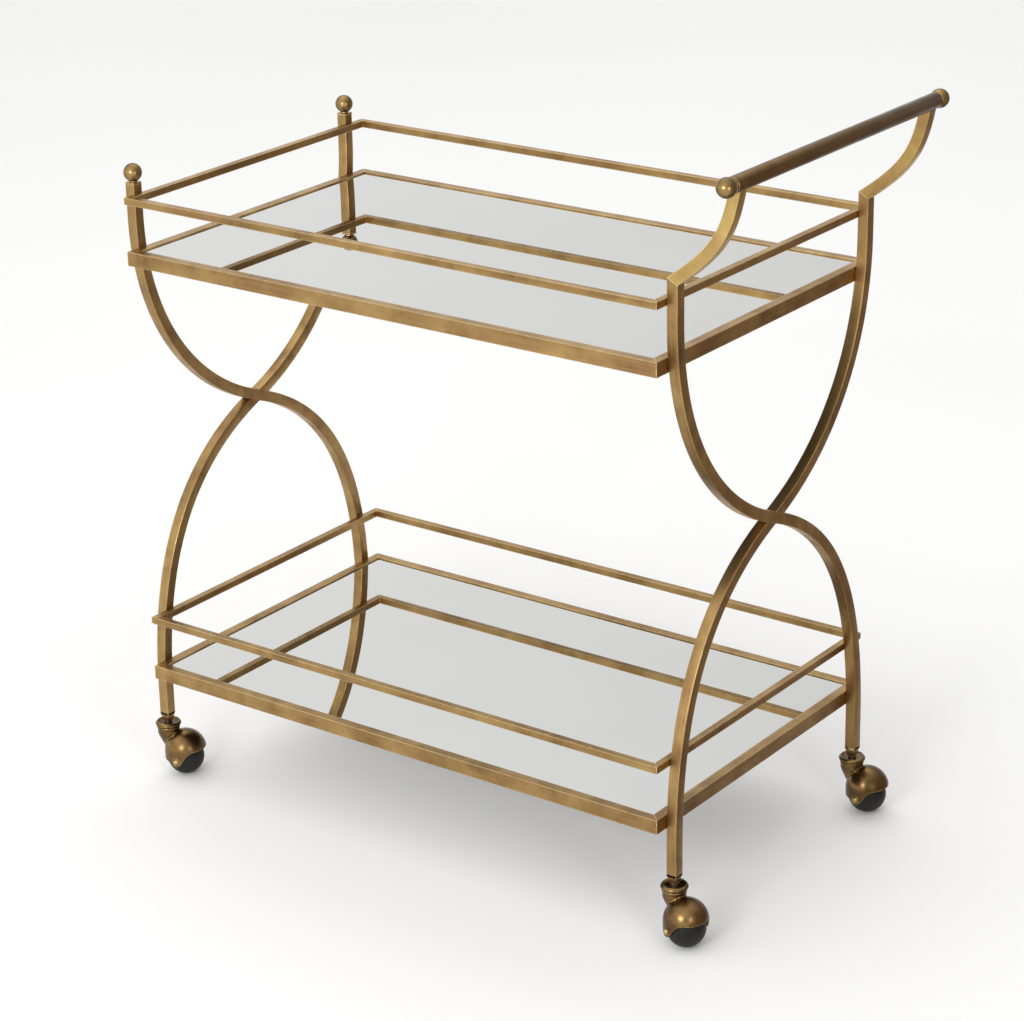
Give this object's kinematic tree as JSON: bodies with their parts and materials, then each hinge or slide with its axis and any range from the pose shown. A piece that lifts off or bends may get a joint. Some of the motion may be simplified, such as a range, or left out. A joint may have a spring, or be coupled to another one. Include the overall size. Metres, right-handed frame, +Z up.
{
  "type": "bar cart",
  "caption": "Rolling bar cart with mirrored shelves inside gallery rails, crossed curved end legs, ball finials, a raised push handle and hooded ball casters.",
  "frame": {"origin": "on the floor, at the middle of the whole cart's length and width", "axes": "+X to the push-handle end, +Y to the back long side, +Z up"},
  "size_m": [0.9405, 0.504, 0.9795],
  "materials": {
    "frame_brass": "satin antique brass, brushed along the tubes",
    "handle_brass": "satin antique brass, rubbed brighter",
    "caster_brass": "antique brass, dark and softly polished",
    "rivet_brass": "worn brass",
    "steel": "plain",
    "wheel_black": "satin black",
    "mirror_glass": "clear silvered glass",
    "board": "dark painted fibreboard"
  },
  "bodies": {
    "cart": {"ball_studs": "steel", "caster_cap_back_left": "caster_brass", "caster_cap_back_right": "caster_brass", "caster_cap_front_left": "caster_brass", "caster_cap_front_right": "caster_brass", "caster_stems": "steel", "caster_washers": "steel", "finial_back": "handle_brass", "finial_front": "handle_brass", "handle_arm_back": "handle_brass", "handle_arm_front": "handle_brass", "handle_ball_back": "handle_brass", "handle_ball_front": "handle_brass", "handle_bar": "handle_brass", "handle_collar_back": "handle_brass", "handle_collar_front": "handle_brass", "left_leg_lower": "frame_brass", "left_leg_through": "frame_brass", "left_leg_upper": "frame_brass", "lower_backing_board": "board", "lower_frame_back": "frame_brass", "lower_frame_front": "frame_brass", "lower_frame_left": "frame_brass", "lower_frame_right": "frame_brass", "lower_gallery_back": "frame_brass", "lower_gallery_front": "frame_brass", "lower_gallery_left": "frame_brass", "lower_gallery_right": "frame_brass", "lower_mirror": "mirror_glass", "post_caps": "frame_brass", "right_leg_lower": "frame_brass", "right_leg_through": "frame_brass", "right_leg_upper": "frame_brass", "upper_backing_board": "board", "upper_frame_back": "frame_brass", "upper_frame_front": "frame_brass", "upper_frame_left": "frame_brass", "upper_frame_right": "frame_brass", "upper_gallery_back": "frame_brass", "upper_gallery_front": "frame_brass", "upper_gallery_left": "frame_brass", "upper_gallery_right": "frame_brass", "upper_mirror": "mirror_glass"},
    "caster_front_left": {"caster_hood_front_left": "caster_brass", "caster_axle_front_left": "rivet_brass"},
    "wheel_front_left": {"caster_wheel_front_left": "wheel_black", "caster_wheel_cap_front_left": "wheel_black"},
    "caster_front_right": {"caster_hood_front_right": "caster_brass", "caster_axle_front_right": "rivet_brass"},
    "wheel_front_right": {"caster_wheel_front_right": "wheel_black", "caster_wheel_cap_front_right": "wheel_black"},
    "caster_back_right": {"caster_hood_back_right": "caster_brass", "caster_axle_back_right": "rivet_brass"},
    "wheel_back_right": {"caster_wheel_back_right": "wheel_black", "caster_wheel_cap_back_right": "wheel_black"},
    "caster_back_left": {"caster_hood_back_left": "caster_brass", "caster_axle_back_left": "rivet_brass"},
    "wheel_back_left": {"caster_wheel_back_left": "wheel_black", "caster_wheel_cap_back_left": "wheel_black"}
  },
  "joints": [
    {"name": "swivel_front_left", "type": "hinge", "parent": "cart", "child": "caster_front_left", "pos_m": [-0.45275, -0.214, 0.0687], "axis": [0, 0, 1], "continuous": true},
    {"name": "roll_front_left", "type": "hinge", "parent": "caster_front_left", "child": "wheel_front_left", "pos_m": [-0.43128, -0.20576, 0.025], "axis": [0.1908, -0.9816, 0], "continuous": true},
    {"name": "swivel_front_right", "type": "hinge", "parent": "cart", "child": "caster_front_right", "pos_m": [0.37525, -0.214, 0.0687], "axis": [0, 0, 1], "continuous": true},
    {"name": "roll_front_right", "type": "hinge", "parent": "caster_front_right", "child": "wheel_front_right", "pos_m": [0.39706, -0.2213, 0.025], "axis": [-0.4772, -0.8788, 0], "continuous": true},
    {"name": "swivel_back_right", "type": "hinge", "parent": "cart", "child": "caster_back_right", "pos_m": [0.37525, 0.214, 0.0687], "axis": [0, 0, 1], "continuous": true},
    {"name": "roll_back_right", "type": "hinge", "parent": "caster_back_right", "child": "wheel_back_right", "pos_m": [0.39816, 0.21601, 0.025], "axis": [-0.0872, -0.9962, 0], "continuous": true},
    {"name": "swivel_back_left", "type": "hinge", "parent": "cart", "child": "caster_back_left", "pos_m": [-0.45275, 0.214, 0.0687], "axis": [0, 0, 1], "continuous": true},
    {"name": "roll_back_left", "type": "hinge", "parent": "caster_back_left", "child": "wheel_back_left", "pos_m": [-0.43025, 0.21878, 0.025], "axis": [0.0349, -0.9994, 0], "continuous": true}
  ]
}
